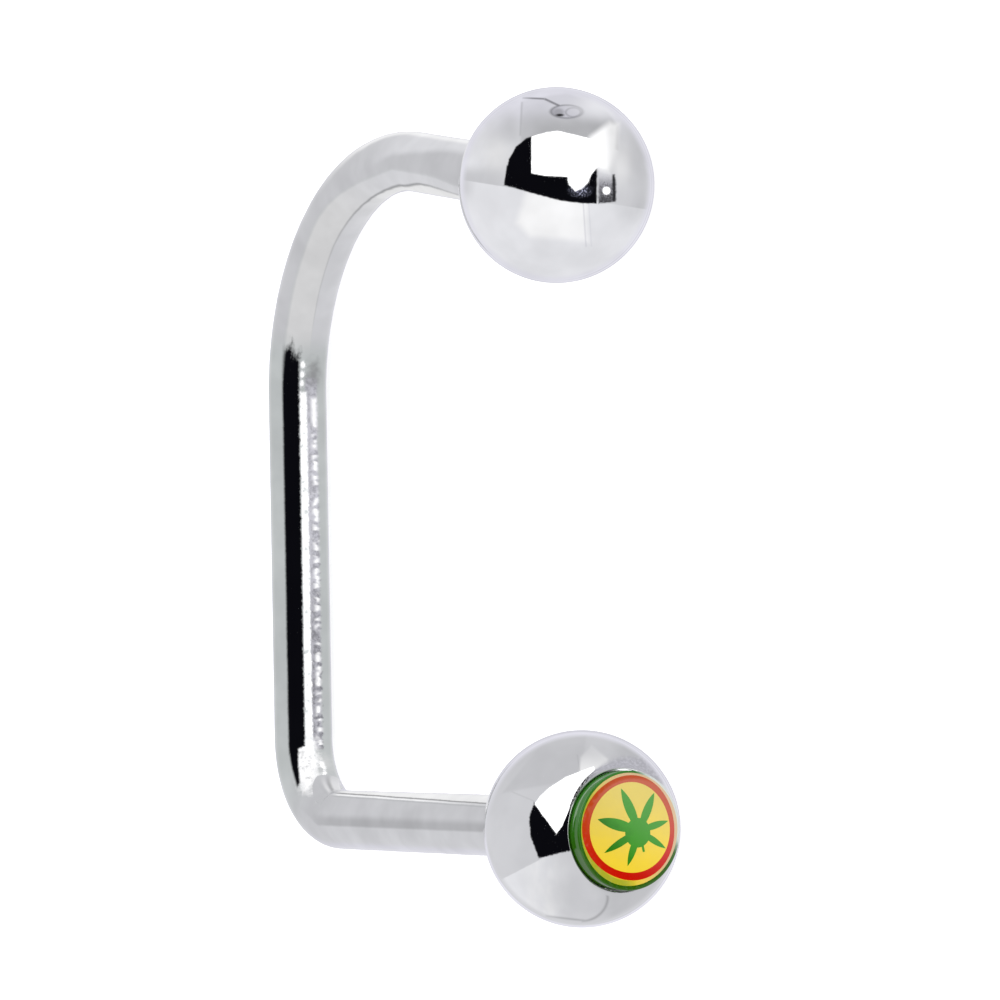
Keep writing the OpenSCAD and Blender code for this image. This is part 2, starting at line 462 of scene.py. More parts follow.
def slab(name, outlines, keep, floor_x, plate=None, pocket_x=0.0):
    """A raised shape of the disc: domed top, straight sides down to floor_x, flat back.

    Where plate reaches further than keep, the rest of it is a pocket with its floor at pocket_x."""
    flat, faces = filled(outlines, plate or keep)
    raised = keep(np.array([flat[list(f)].mean(0) for f in faces]))
    top = np.stack([disc_height(np.linalg.norm(flat, axis=1)), flat[:, 1], -flat[:, 0]], 1)
    back = top.copy()
    back[:, 0] = floor_x
    pocket = top.copy()
    pocket[:, 0] = pocket_x
    count = len(flat)
    out = []
    borders = {}
    for f, high in zip(faces, raised):
        a, b, c = (flat[i] for i in f[:3])
        if (b[0] - a[0]) * (c[1] - a[1]) - (b[1] - a[1]) * (c[0] - a[0]) < 0:
            f = f[::-1]
        level = 0 if high else 2 * count
        out.append(tuple(i + level for i in f))
        out.append(tuple(i + count for i in f[::-1]))
        for edge in zip(f, f[1:] + f[:1]):
            borders[edge] = level
    for (i, j), level in borders.items():
        below = borders.get((j, i), count)
        if below > level or below == count:
            out.append((j + level, i + level, i + below, j + below))
    points = np.concatenate([top, back, pocket])
    used = sorted({i for f in out for i in f})
    new = {old: at for at, old in enumerate(used)}
    out = [tuple(new[i] for i in f) for f in out]
    return make_piece(name, points[used], out, AT_LOWER, 40)


RING_OUTER = ring_edge(RING_OUT_R, RING_OUT_WAVES, RING_LIFT)
RING_INNER = ring_edge(RING_IN_R, RING_IN_WAVES, RING_LIFT)
FIELD_EDGE = ring_edge(FIELD_R, [], PLATE_LIFT)


def make_disc_rim(columns=256):
    """The green cup: outer wall with a rounded edge, narrow face, inner wall and floor, set a little high."""
    cup_x = DISC_BACK_X + CUP_FLOOR
    outside = [(DISC_BACK_X, 0.0), (DISC_BACK_X, 0.8)]
    outside += fillet((DISC_BACK_X, 0.8), (DISC_BACK_X, DISC_R), (FACE_X, DISC_R), DISC_BACK_ROUND, 2)
    outside += [(x, DISC_R) for x in np.linspace(DISC_BACK_X + 0.1, FACE_X - 0.1, 6)]
    outside += fillet((DISC_BACK_X, DISC_R), (FACE_X, DISC_R), (FACE_X, FIELD_R), DISC_ROUND, 8)
    cup = [(FACE_X, FIELD_R), (FACE_X - 0.03, FIELD_R), (cup_x, FIELD_R), (cup_x, 0.7), (cup_x, 0.0)]
    points, faces = lathe(outside + cup, columns)
    first_cup = 1 + (len(outside) - 1) * columns
    points[first_cup:, 1] += PLATE_LIFT
    return make_piece("disc_rim_skin", points, faces, AT_LOWER)


def make_disc_field():
    """The yellow plate: its margin outside the red ring and its field round the leaf."""
    leaf = leaf_edge()

    def plate(spots):
        return np.hypot(spots[:, 0], spots[:, 1] - PLATE_LIFT) < FIELD_R

    def yellow(spots):
        in_outer = inside(spots, RING_OUTER)
        in_inner = inside(spots, RING_INNER)
        return (~in_outer | in_inner) & ~inside(spots, leaf)

    floor_x = DISC_BACK_X + CUP_FLOOR + INLAY_GAP
    pocket_x = FACE_X - INLAY_DEPTH - INLAY_GAP
    outlines = [FIELD_EDGE, RING_OUTER, RING_INNER, leaf]
    return slab("disc_field_skin", outlines, yellow, floor_x, plate, pocket_x)


def make_disc_ring():
    """The red ring, let into the yellow plate."""
    def red(spots):
        return inside(spots, RING_OUTER) & ~inside(spots, RING_INNER)

    return slab("disc_ring_skin", [RING_OUTER, RING_INNER], red, FACE_X - INLAY_DEPTH)


def make_disc_leaf():
    """The leaf, let into the yellow plate."""
    leaf = leaf_edge()

    def green(spots):
        return inside(spots, leaf) & inside(spots, RING_INNER)

    return slab("disc_leaf_skin", [leaf, RING_INNER], green, FACE_X - INLAY_DEPTH)


# Nodes, and arithmetic on what they give

def add_node(tree, kind, inputs, **settings):
    """A shader node with its settings. Each input, by name or number, is linked or set."""
    node = tree.nodes.new("ShaderNode" + kind)
    for name, setting in settings.items():
        setattr(node, name, setting)
    for at, item in inputs.items():
        item = getattr(item, "socket", item)
        if isinstance(item, bpy.types.NodeSocket):
            tree.links.new(item, node.inputs[at])
        else:
            node.inputs[at].default_value = item
    return node


class Value:
    """A number in a node tree that can be added, multiplied and compared."""

    def __init__(self, socket):
        self.socket = socket
        self.tree = socket.id_data

    def math(self, kind, *others):
        inputs = dict(enumerate((self, *others)))
        return Value(add_node(self.tree, "Math", inputs, operation=kind).outputs[0])

    def __add__(self, other):
        return self.math("ADD", other)

    def __sub__(self, other):
        return self.math("SUBTRACT", other)

    def __mul__(self, other):
        return self.math("MULTIPLY", other)

    def __neg__(self):
        return self * -1.0

    def smaller(self, other):
        return self.math("MINIMUM", other)

    def larger(self, other):
        return self.math("MAXIMUM", other)

    def size(self):
        """The value without its sign."""
        return self.math("ABSOLUTE")

    def ramp(self, low, high, out_low=0.0, out_high=1.0, smooth=True):
        """Goes from out_low at low to out_high at high."""
        inputs = {"Value": self, "From Min": low, "From Max": high, "To Min": out_low, "To Max": out_high}
        kind = "SMOOTHSTEP" if smooth else "LINEAR"
        return Value(add_node(self.tree, "MapRange", inputs, interpolation_type=kind).outputs["Result"])

    def within(self, soft):
        """1 where this signed distance is negative, 0 where it is positive."""
        if isinstance(soft, Value):
            return self.math("DIVIDE", soft).ramp(-1.0, 1.0, 1.0, 0.0)
        return self.ramp(-soft, soft, 1.0, 0.0)


def vector_math(kind, first, second=None, at=1):
    """Vector arithmetic. The second vector or number goes to the input called at."""
    inputs = {0: first} if second is None else {0: first, at: second}
    node = add_node(first.id_data, "VectorMath", inputs, operation=kind)
    return node.outputs["Value" if kind == "DOT_PRODUCT" else 0]


def stretched(where, *factors):
    return vector_math("MULTIPLY", where, factors)


def noise(where, scale, detail=2.0, rough=0.5):
    inputs = {"Vector": where, "Scale": scale, "Detail": detail, "Roughness": rough}
    return Value(add_node(where.id_data, "TexNoise", inputs).outputs["Fac"])


# The colour sockets of a Mix node
MIX_COLOURS = (6, 7)
MIX_RESULT = 2


class Paint:
    """A colour in a node tree, to which more can be added in front."""

    def __init__(self, amount, under, over):
        """under where amount is 0, and over where it is 1."""
        inputs = {"Factor": amount}
        for at, colour in zip(MIX_COLOURS, (under, over)):
            inputs[at] = (*colour, 1.0) if isinstance(colour, tuple) else colour
        self.socket = add_node(amount.tree, "Mix", inputs, data_type="RGBA").outputs[MIX_RESULT]

    def add(self, amount, over):
        self.socket = Paint(amount, self, over).socket


# The studio, painted as the reflections that the steel shows, with painted highlights and shade. Places in it
# are given as they show on a mirror ball that is seen from the front of the studio: x to the right, y up, the
# ball's edge at 1.

STEEL_COLOUR = (0.8, 0.8, 0.81)


def linear(level):
    level = level / 255
    return level / 12.92 if level <= 0.04045 else ((level + 0.055) / 1.055) ** 2.4


def grey(level, tint=(1.0, 1.0, 1.0)):
    """A colour of the painted reflection, which polished steel shows at a screen level of 0 to 255."""
    value = linear(level) / STEEL_COLOUR[0]
    return tuple(value * t for t in tint)


def edge_distance(x, y, one, two):
    """Signed distance from the line through two points, negative on its left."""
    dx, dy = two[0] - one[0], two[1] - one[1]
    size = math.hypot(dx, dy)
    nx, ny = dy / size, -dx / size
    return x * nx + y * ny - (one[0] * nx + one[1] * ny)


def convex(x, y, corners):
    """Signed distance of a convex shape whose corners run anticlockwise."""
    sides = [edge_distance(x, y, *side) for side in zip(corners, corners[1:] + corners[:1])]
    return functools.reduce(Value.larger, sides)


def from_middle(x, y):
    return (x * x + y * y).math("SQRT")


def oval(x, y, middle, half):
    dx = (x - middle[0]) * (1 / half[0])
    dy = (y - middle[1]) * (1 / half[1])
    return (from_middle(dx, dy) - 1.0) * min(half)


# Tints and painted lights of the studio reflection: white, glare and glaze are painted highlights, black a
# painted dark room
COOL = (0.985, 0.99, 1.02)
LILAC = (0.97, 0.965, 1.05)
NAVY = (0.9, 0.93, 1.25)
TEAL = (0.955, 1.0, 0.995)
WHITE = (2.6, 2.6, 2.6)
GLARE = (1.5, 1.5, 1.5)
GLAZE = (2.1, 2.1, 2.15)
BLACK = (0.004, 0.004, 0.006)


def cool(level):
    return grey(level, COOL)


def lilac(level):
    return grey(level, LILAC)


# Corners of the painted reflection in the top ball: a dim panel of the tent, painted light on the table, the
# dark room in two parts, the mottled patch, the softbox with its two notches, and its painted light on the
# wall
TENT_PANEL = [(-0.36, 0.4), (0.62, 0.36), (0.62, 0.6), (0.46, 0.82), (0.1, 0.93), (-0.35, 0.86)]
TABLE_POOL = [(-0.3, -0.05), (-0.4, -0.38), (-0.26, -0.52), (0.31, -0.56), (0.31, -0.18)]
ROOM_ARM = [(-0.53, 0.0), (-0.23, -0.08), (-0.23, 0.5), (-0.3, 0.475), (-0.41, 0.385), (-0.48, 0.26)]
ROOM_FOOT = [(-0.53, 0.0), (-0.39, -0.04), (-0.25, -0.08), (0.03, -0.155), (0.28, -0.185),
             (0.405, -0.185), (0.41, 0.18), (-0.5, 0.2)]
MOTTLED = [(0.425, -0.185), (0.6, -0.17), (0.605, 0.02), (0.585, 0.11), (0.425, 0.16)]
SOFTBOX = [(-0.25, 0.122), (-0.117, 0.097), (0.11, 0.085), (0.34, 0.085), (0.41, 0.18), (0.46, 0.44),
           (0.31, 0.475), (0.17, 0.525), (0.03, 0.546), (-0.1, 0.53), (-0.25, 0.488)]
HORN = [(0.33, 0.02), (0.41, 0.02), (0.405, 0.175), (0.345, 0.1)]
NOTCH = [(0.11, 0.1), (0.125, 0.01), (0.19, -0.06), (0.25, -0.04), (0.32, 0.03), (0.34, 0.1)]
PLUME = [(0.3, 0.3), (0.415, 0.17), (0.53, 0.13), (0.61, 0.34), (0.63, 0.62), (0.54, 0.635),
         (0.34, 0.485)]
# Corners of the painted reflection in the lower ball
LOW_PANEL = [(-0.8, 0.36), (-0.02, 0.5), (0.05, 0.95), (-0.4, 0.86)]
LOW_LIGHT = [(-0.04, 0.4), (0.3, 0.4), (0.26, 0.7), (0.1, 0.84), (-0.01, 0.72)]
LOW_SOFTBOX = [(-0.49, 0.22), (-0.26, -0.09), (0.1, -0.1), (0.2, 0.2), (0.12, 0.62), (0.02, 0.585),
               (-0.16, 0.515), (-0.33, 0.405), (-0.42, 0.32)]
LOW_ROOM_LEFT = [(-0.478, 0.256), (-0.53, 0.11), (-0.512, -0.085), (-0.43, -0.295), (-0.3, -0.255),
                 (-0.253, -0.045)]
LOW_ROOM_RIGHT = [(-0.43, -0.295), (0.1, -0.17), (0.1, 0.4), (-0.253, -0.045)]
# Corners of the painted reflection on the wire
WIRE_WEDGE = [(-0.44, 11.95), (-0.3, 12.0), (-0.19, 13.2), (-0.19, 13.7), (-0.5, 13.7), (-0.5, 13.0)]
WIRE_ROOM = [(-0.515, 13.15), (0.05, 13.4), (0.065, 23.4), (0.05, 25.8), (-0.515, 25.8)]
WIRE_PATCH = [(-0.05, 11.4), (0.28, 11.8), (0.46, 12.6), (0.42, 13.6), (0.05, 13.7), (-0.3, 13.3),
              (-0.36, 12.3), (-0.3, 11.6)]


def pattern_place(x, y):
    """A place on the mirror ball as a vector, for noise."""
    return add_node(x.tree, "CombineXYZ", {0: x, 1: y}).outputs[0]


def line_mark(x, y, one, two, half_width):
    """Signed distance from a straight stroke between two points."""
    across = edge_distance(x, y, one, two).size() - half_width
    dx, dy = two[0] - one[0], two[1] - one[1]
    size = math.hypot(dx, dy)
    along = (x - one[0]) * (dx / size) + (y - one[1]) * (dy / size)
    return across.larger(-along).larger(along - size)


def tent(x, y):
    """The painted reflection of the white tent's walls and the white table, with painted glows, shade and a
    pool of light, without what shows in front of them.
    """
    horizon = y + x * 0.16 + 0.1
    colour = Paint(y.ramp(0.45, 0.9), cool(210), lilac(226))
    colour.add(x.ramp(-0.5, -0.95), cool(228))
    colour.add(x.ramp(-0.45, -0.6) * y.ramp(0.24, 0.1), cool(205))
    # painted glows on the tent's walls
    warm = oval(x, y, (-0.6, 0.3), (0.13, 0.15))
    colour.add(warm.within(0.12) * 0.7, grey(230))
    glow = oval(x, y, (0.68, 0.2), (0.12, 0.17))
    colour.add(glow.within(0.12) * 0.8, grey(236))
    # painted shade over a panel of the tent
    panel = convex(x, y, TENT_PANEL)
    shade = panel.within(0.02) * y.ramp(0.56, 0.8, 1.0, 0.25) * x.ramp(-0.36, -0.1, 0.7, 1.0)
    colour.add(shade, cool(183))
    colour.add(oval(x, y, (-0.46, 0.58), (0.08, 0.12)).within(0.08) * 0.6, cool(195))
    seam = line_mark(x, y, (-0.35, 0.84), (-0.365, 0.5), 0.008)
    colour.add(seam.within(0.014) * 0.45, cool(150))
    colour.add(x.ramp(0.62, 0.85) * x.ramp(1.0, 0.86), cool(198))
    # painted shade at the far left
    dusk = oval(x, y, (-0.95, 0.0), (0.1, 0.13))
    table = Paint(y.ramp(-0.25, -0.9), cool(233), cool(228))
    table.add(x.ramp(0.35, 0.75) * y.ramp(-0.6, -0.2), cool(216))
    # painted pool of light on the table
    pool = convex(x, y, TABLE_POOL)
    table.add(pool.within(0.05), grey(248))
    for at, strength in ((0.29, 0.7), (0.345, 0.4)):
        streak = line_mark(x, y, (at - 0.02, -0.18), (at + 0.01, -0.62), 0.005)
        table.add(streak.within(0.01) * strength, lilac(205))
    colour.add(horizon.within(0.006), table)
    colour.add(dusk.within(0.07) * 0.6, cool(196))
    return colour


def painted_neighbour_reflection(x, y, colour):
    """A painted reflection of another ball and its wire, standing beyond this one, as the photographed ball
    mirrors them.
    """
    wire = line_mark(x, y, (-0.345, 0.885), (-0.12, 0.872), 0.009)
    wire = wire.smaller(line_mark(x, y, (-0.12, 0.872), (0.03, 0.8), 0.011))
    colour.add(wire.within(0.007) * 0.8, lilac(118))
    ball = oval(x, y, (0.105, 0.742), (0.158, 0.066))
    colour.add(ball.within(0.006), lilac(206))
    rim = ball.size() - 0.006
    colour.add(rim.within(0.01) * 0.85, lilac(125))
    inner = oval(x, y, (0.17, 0.735), (0.075, 0.045)).size() - 0.006
    colour.add(inner.within(0.007) * 0.7, lilac(150))
    left = oval(x, y, (0.02, 0.735), (0.055, 0.04))
    colour.add(left.within(0.02) * 0.7, lilac(150))
    spot = oval(x, y, (0.035, 0.706), (0.04, 0.013))
    colour.add(spot.within(0.008), grey(35))


def mottled_patch(x, y, fleck, grain, colour):
    """A painted reflection: a mottled patch beyond a thin bright line, with a dark strip in it."""
    far = convex(x, y, MOTTLED)
    mottle = (grain + y * 0.12).ramp(-0.026, 0.018)
    patch = Paint(mottle, lilac(40), lilac(185))
    patch.add(y.ramp(-0.01, 0.15), cool(228))
    strip = line_mark(x, y, (0.585, -0.16), (0.578, 0.11), 0.016) + fleck * 0.25
    patch.add(strip.within(0.012), lilac(45))
    colour.add((far + fleck * 0.3).within(0.012), patch)


def softbox(x, y, fleck, grain, colour):
    """The painted reflection of the softbox, with a notch of painted light below it."""
    box = convex(x, y, SOFTBOX)
    horn = convex(x, y, HORN) + fleck * 0.1
    box = box.larger(-horn)
    notch = convex(x, y, NOTCH)
    light = (box + fleck * 0.1).smaller(notch + grain * 0.5)
    colour.add(light.within(0.008), WHITE)


def studio(x, y):
    """The whole painted studio reflection as a colour, from a place on the mirror ball."""
    place = pattern_place(x, y)
    fleck = (noise(place, 26.0, 3.0, 0.6) - 0.5) * 0.09
    grain = (noise(place, 90.0, 2.0, 0.6) - 0.5) * 0.12
    colour = tent(x, y)
    # painted reflection of another ball and its wire
    painted_neighbour_reflection(x, y, colour)
    # painted reflection of the dark room seen round the softbox
    room = convex(x, y, ROOM_ARM).smaller(convex(x, y, ROOM_FOOT)) + fleck * 0.18
    colour.add(room.within(0.008), BLACK)
    # painted highlight along the upper right edge
    crest = oval(x, y, (0.44, 0.8), (0.24, 0.11))
    colour.add(crest.within(0.1) * 0.8, cool(240))
    mottled_patch(x, y, fleck, grain, colour)
    softbox(x, y, fleck, grain, colour)
    # painted glints off the notch's tip
    spread = oval(x, y, (0.24, -0.055), (0.15, 0.085))
    sparks = noise(place, 75.0, 2.0, 0.6).ramp(0.54, 0.62)
    near = spread.ramp(-0.085, 0.0, 1.0, 0.0) * room.within(0.01)
    colour.add(near * sparks, grey(250, NAVY))
    colour.add(near * 0.2, grey(120, NAVY))
    # the softbox's painted light on the tent's wall, and a painted lamp in the patch
    plume = convex(x, y, PLUME)
    glow = Paint(x.ramp(0.43, 0.58), GLARE, grey(240))
    colour.add(plume.within(0.045), glow)
    lamp = oval(x, y, (0.505, -0.056), (0.036, 0.036))
    colour.add(lamp.within(0.012), WHITE)
    return tent_behind(place, from_middle(x, y), colour)


def tent_behind(place, r, colour):
    """The painted reflection of the tent behind the object, which shows only at a ball's very edge, and an
    uneven wash over all.
    """
    colour.add(r.ramp(0.9, 0.975), lilac(221))
    colour.add(r.ramp(0.985, 0.992), lilac(206))
    wash = noise(place, 2.2, 2.0).ramp(0.3, 0.7, 0.96, 1.04)
    return vector_math("SCALE", colour.socket, wash, "Scale")


def low_walls(x, y):
    """The painted reflection of the tent's walls in the lower ball, with a painted shaded panel and a painted
    bright patch.
    """
    colour = Paint(y.ramp(0.2, 0.75), cool(208), cool(202))
    panel = convex(x, y, LOW_PANEL)
    colour.add(panel.within(0.02) * 0.8, cool(196))
    colour.add(x.ramp(0.25, 0.45), cool(192))
    bright = convex(x, y, LOW_LIGHT)
    colour.add(bright.within(0.02) * y.ramp(0.55, 0.82, 1.0, 0.2), grey(240))
    seam = line_mark(x, y, (-0.02, 0.57), (-0.045, 0.74), 0.003)
    seam = seam.smaller(line_mark(x, y, (-0.45, 0.265), (-0.7, 0.37), 0.003))
    colour.add(seam.within(0.01) * 0.35, cool(150))
    return colour


def low_table(x, y, fleck, place, colour):
    """The painted reflection of the table, with painted light under the softbox and painted shade beside it.
    """
    brushed = noise(stretched(place, 4.0, 2.0, 1.0), 1.0, 3.0, 0.6)
    below = y - x * 0.52 + 0.09
    table = Paint(brushed.ramp(0.35, 0.7), cool(224), grey(237))
    table.add(x.ramp(-0.35, -0.75), cool(230))
    table.add(x.ramp(-0.45, -0.1) * 0.85, cool(203))
    table.add(x.ramp(0.1, 0.35) * 0.8, cool(190))
    colour.add((below + fleck * 0.1).within(0.008), table)
    # painted dark line of the table's far corner
    hem = oval(x, y, (-0.01, -0.68), (0.27, 0.25)).size() - 0.009
    hem = hem.larger(-x).larger(y + 0.66)
    hem = hem.smaller(line_mark(x, y, (-0.36, -0.88), (0.05, -0.925), 0.006))
    colour.add(hem.within(0.018) * 0.85, cool(150))


def painted_disc_reflection(x, y, fleck, place, colour):
    """A painted reflection of the disc's own side and land, as the ball shows them above it."""
    halo = oval(x, y, (0.5, 0.05), (0.6, 0.67)) + fleck * 0.15
    rough = noise(place, 34.0, 3.0, 0.7)
    rind = Paint(rough.ramp(0.52, 0.58), grey(8), grey(225))
    veiled = Paint(rough.ramp(0.4, 0.65), lilac(178), lilac(200))
    rind.add((x + y * 0.4).ramp(0.2, 0.42), veiled)
    soft = (x + y).ramp(0.6, 1.0, 0.012, 0.04)
    colour.add(halo.within(soft) * y.ramp(0.12, 0.22), rind)
    # painted reflection of light on the disc's glaze and on the land round it, which mirror what the ball has
    # hidden
    glaze = (y + x * 0.9 - 0.4).ramp(-0.22, 0.3)
    veil = Paint(glaze, grey(50), GLAZE)
    specks = noise(place, 48.0, 3.0, 0.7).ramp(0.52, 0.62)
    land = Paint(specks, grey(20), grey(235))
    land.add(y.ramp(0.17, 0.27), cool(178))
    land.add(x.ramp(0.5, 0.62), cool(214))
    beyond = oval(x, y, (0.52, -0.02), (0.205, 0.27))
    veil = Paint(beyond.within(0.006), land, veil)
    shown = x.ramp(0.2, 0.24) * y.ramp(-0.42, -0.38) * y.ramp(0.48, 0.42)
    colour.add(shown, veil)


def studio_low(x, y):
    """The painted reflection in the lower ball: the same softbox from nearer and lower down."""
    place = pattern_place(x, y)
    fleck = (noise(place, 26.0, 3.0, 0.6) - 0.5) * 0.09
    colour = low_walls(x, y)
    low_table(x, y, fleck, place, colour)
    # painted reflection of the softbox
    box = convex(x, y, LOW_SOFTBOX)
    colour.add((box + fleck * 0.1).within(0.008), WHITE)
    # painted reflection of the dark room in front of it
    dark = convex(x, y, LOW_ROOM_LEFT).smaller(convex(x, y, LOW_ROOM_RIGHT)) + fleck * 0.35
    colour.add(dark.within(0.008), BLACK)
    # painted reflection of the disc's side, glaze and land
    painted_disc_reflection(x, y, fleck, place, colour)
    # painted reflection of the tent beside and behind the ball
    shade = Paint((y + x * 0.4).ramp(-0.5, 0.4), cool(206), lilac(226))
    colour.add(from_middle(x, y).ramp(0.91, 0.97), shade)
    return colour.socket


def band(x, y, middle, half, start, end):
    """Signed distance of a straight strip along the wire."""
    return ((x - middle).size() - half).larger(y * -1.0 + start).larger(y - end)


def wire_arm(x, y, colour):
    """Painted reflection on the lower arm: a band of painted shade, and a thin painted highlight under the
    light along its top.
    """
    across = x + y.ramp(10.1, 12.4, 0.0, 0.75)
    colour.add(across.ramp(-0.18, -0.26) * y.ramp(11.6, 10.3), cool(205))
    colour.add(x.ramp(-0.7, -0.92) * y.ramp(11.5, 10.0), lilac(212))
    dark = across.ramp(-0.28, -0.17) * across.ramp(0.22, -0.06) * y.ramp(9.3, 11.0, 1.0, 0.0)
    colour.add(dark, cool(179))
    edge = x - y.ramp(1.5, 10.2, 0.7, 0.9, smooth=False)
    fade = y.ramp(9.65, 10.2, 1.0, 0.0)
    colour.add(edge.ramp(-0.01, 0.02) * fade, grey(236))
    colour.add((edge.size() - 0.018).within(0.014) * fade * 0.8, grey(140))
    bright = (edge + 0.055).size() - 0.02
    colour.add(bright.within(0.02) * fade * y.ramp(1.5, 6.0, 0.3, 1.0), grey(250))
    under = (edge + 0.115).size() - 0.014
    colour.add(under.within(0.02) * fade * 0.45, grey(165, TEAL))


def wire_arch(x, y, colour):
    """Painted reflection on the arch and the tail: a painted light strip between a dark line and a softer
    edge.
    """
    line = y.ramp(28.0, 33.6, 0.38, 0.86) - y.ramp(33.6, 35.0, 0.0, 0.16) + y.ramp(35.2, 36.8, 0.0, 0.14)
    low = y.ramp(28.6, 33.4, -0.5, 0.36) + y.ramp(35.4, 37.0, 0.0, 0.18)
    under = y.ramp(32.4, 36.8, -0.05, -0.55)
    arch = y.ramp(24.2, 25.2)
    inner = Paint(y.ramp(29.0, 33.0), cool(208), grey(226))
    colour.add(arch * (x - line).ramp(-0.02, 0.02), inner)
    light = Paint(y.ramp(29.0, 33.0), grey(213), cool(211))
    strip = arch * (x - line).ramp(0.02, -0.02) * (x - low).ramp(-0.1, 0.08)
    colour.add(strip, light)
    beneath = (x - low).ramp(0.08, -0.1)
    colour.add(arch * beneath, cool(199))
    colour.add(arch * beneath * y.ramp(32.0, 34.0) * (x - under).ramp(-0.12, 0.12), cool(194))
    lift = (x - under).ramp(0.15, -0.15) * y.ramp(31.5, 34.5)
    colour.add(arch * beneath * lift, cool(216))
    colour.add(x.ramp(-0.78, -0.94) * y.ramp(29.0, 32.5), grey(240))
    mark = (x - line).size() - y.ramp(26.0, 31.0, 0.012, 0.032)
    strength = y.ramp(25.0, 26.0) * y.ramp(27.0, 32.0, 0.3, 0.8) * y.ramp(34.5, 36.6, 1.0, 0.45)
    colour.add(mark.within(0.035) * strength, cool(140))


def wire_corner(x, y, fine, colour):
    """Painted glints on the inside of the corner."""
    glint = oval(x, y, (0.55, 12.6), (0.3, 0.35)) + fine * 0.5
    colour.add(glint.within(0.25) * 0.7, grey(212))
    for at in ((0.58, 12.35), (0.56, 12.62)):
        colour.add((oval(x, y, at, (0.09, 0.12)) + fine * 0.3).within(0.05), GLARE)


def wire_inside(x, y, place, fine, blotch, colour):
    """Painted reflection: violet grey between the two bright strips, painted glints beaded along the inner
    strip, and a darker painted patch above.
    """
    hollow = band(x, y, 0.47, 0.2, 13.2, 23.7) + fine * 0.3
    coarse = noise(place, 2.4, 2.0, 0.5) - 0.5
    uneven = (fine + coarse * 0.5).ramp(-0.14, 0.1)
    violet = Paint(uneven, lilac(172), lilac(208))
    deeper = Paint(uneven, lilac(138), lilac(185))
    violet.add(y.ramp(20.0, 15.5), deeper)
    colour.add(hollow.within(0.04), violet)
    dots = noise(stretched(place, 0.6, 1.0, 1.0), 6.0, 1.0, 0.4)
    dots = (dots - y.ramp(20.0, 15.5, 0.0, 0.035)).ramp(0.42, 0.62) + y.ramp(22.1, 22.6)
    beads = band(x, y, 0.56, 0.075, 13.3, 23.05) + fine * 0.22
    colour.add(beads.within(0.1) * dots.smaller(1.0), GLARE)
    # a darker painted patch in the reflection above the strips
    dark_reflection_patch = oval(x, y, (0.53, 23.8), (0.22, 0.35)) + blotch * 0.4
    colour.add(dark_reflection_patch.within(0.22) * 0.75, cool(135))


def wire_softbox(x, y, fine, blotch, colour):
    """The painted reflection of the softbox: a bright patch at the corner, the outer bright strip, and its
    last dots.
    """
    patch = convex(x, y, WIRE_PATCH)
    shine = Paint((fine * 0.7 + blotch * 0.8).ramp(-0.24, 0.1), grey(218), GLARE)
    colour.add((patch + fine * 0.6 + blotch * 0.4).within(0.18), shine)
    white = band(x, y, 0.19, 0.13, 13.2, 23.25) + fine * 0.22
    shine = Paint((fine * 0.5 + blotch * 0.8).ramp(-0.24, -0.02), grey(226, TEAL), GLARE)
    colour.add(white.within(0.04), shine)
    for at in (23.5, 23.8, 24.1):
        colour.add((oval(x, y, (0.15, at), (0.07, 0.09)) + fine * 0.3).within(0.06), GLARE)


def studio_wire(x, y):
    """The painted reflection on the wire. x runs from its outer side to its inner side, y in millimetres
    along it.
    """
    place = stretched(pattern_place(x, y), WIRE_R, 1.0, 1.0)
    fine = noise(place, 9.0, 3.0, 0.65) - 0.5
    blotch = noise(place, 5.0, 2.0, 0.5) - 0.5
    colour = Paint(y.ramp(10.5, 13.0), cool(199), grey(193, TEAL))
    wire_arm(x, y, colour)
    wire_arch(x, y, colour)
    wire_corner(x, y, fine, colour)
    wire_inside(x, y, place, fine, blotch, colour)
    wire_softbox(x, y, fine, blotch, colour)
    # painted reflection of the dark room beside the softbox, then painted pale edges and an uneven wash
    dark = convex(x, y, WIRE_WEDGE).smaller(convex(x, y, WIRE_ROOM))
    dark += fine * x.ramp(-0.4, -0.05, 0.04, 0.2)
    streak = noise(stretched(place, 6.5, 2.2, 1.0), 1.0, 3.0, 0.6) - 0.5
    top = (y + x * 0.5 + streak * 1.3 + fine * 0.35).ramp(24.1, 24.75, 1.0, 0.0)
    colour.add(dark.within(y.ramp(23.4, 24.6, 0.05, 0.1)) * top, BLACK)
    colour.add(x.size().ramp(0.88, 0.97) * 0.4, cool(214))
    wash = noise(place, 1.1, 2.0).ramp(0.3, 0.7, 0.965, 1.035)
    return vector_math("SCALE", colour.socket, wash, "Scale")


def mirror_place(direction, view, right, up):
    """Where a direction shows on a mirror ball that is seen along view."""
    half = vector_math("NORMALIZE", vector_math("ADD", direction, view))
    x = Value(vector_math("DOT_PRODUCT", half, right))
    y = Value(vector_math("DOT_PRODUCT", half, up))
    return x, y


def studio_front(ball_middle):
    """The front, right and up of the studio as a ball at that place has them."""
    to_front = Vector(CAMERA_AT) - Vector(ball_middle)
    view = to_front.normalized()
    right = Vector(CAMERA_RIGHT)
    right = (right - view * right.dot(view)).normalized()
    return view, right, view.cross(right)


TOP_BALL_AT = tuple(AT_TOP[:3, 3])
LOWER_BALL_AT = tuple(AT_LOWER[:3, 3])


def add_output(tree, kind, amount, first, second):
    """The output of a tree that shows first where amount is 0, and second where it is 1."""
    mix = add_node(tree, "MixShader", {"Fac": amount, 1: first.outputs[0], 2: second.outputs[0]})
    add_node(tree, kind, {"Surface": mix.outputs[0]})


